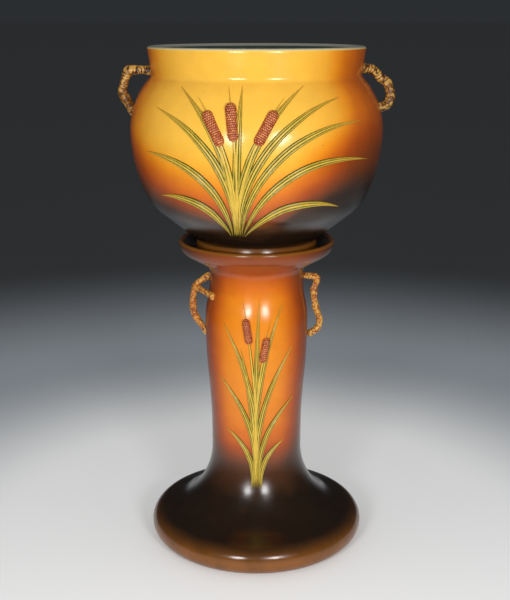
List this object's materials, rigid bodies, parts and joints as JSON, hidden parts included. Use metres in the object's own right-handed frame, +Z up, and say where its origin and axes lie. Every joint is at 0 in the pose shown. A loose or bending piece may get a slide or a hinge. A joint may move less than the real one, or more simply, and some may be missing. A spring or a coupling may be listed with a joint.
{
  "type": "jardiniere on stand",
  "caption": "Round-bellied ceramic jardiniere with luted twig handles, standing by its own weight on a flared hollow pedestal with a dished top, both with raised reed sprays.",
  "frame": {"origin": "centre of the pedestal's foot, on the floor", "axes": "+Z up along the axis of both pieces; the pictured front faces -Y; the handles lie along X"},
  "size_m": [0.392, 0.3714, 0.7369],
  "materials": {
    "amber_glaze": "satin glaze, golden yellow shading to russet and dark brown",
    "reed_glaze": "satin glaze, straw yellow over olive",
    "russet_glaze": "satin glaze, russet brown",
    "bark_glaze": "satin glaze, ochre with dark bark flecks"
  },
  "bodies": {
    "pedestal": {"pedestal_column": "amber_glaze", "pedestal_handle_left": "bark_glaze", "pedestal_handle_right": "bark_glaze", "pedestal_front_reeds": "reed_glaze", "pedestal_back_reeds": "reed_glaze", "pedestal_front_heads": "russet_glaze", "pedestal_back_heads": "russet_glaze"},
    "jardiniere": {"jardiniere_bowl": "amber_glaze", "jardiniere_handle_left": "bark_glaze", "jardiniere_handle_right": "bark_glaze", "jardiniere_front_reeds": "reed_glaze", "jardiniere_back_reeds": "reed_glaze", "jardiniere_front_heads": "russet_glaze", "jardiniere_back_heads": "russet_glaze"}
  },
  "joints": [
    {"name": "jardiniere_lift", "type": "slide", "parent": "pedestal", "child": "jardiniere", "axis": [0, 0, 1], "range_m": [0, 0.25]}
  ]
}
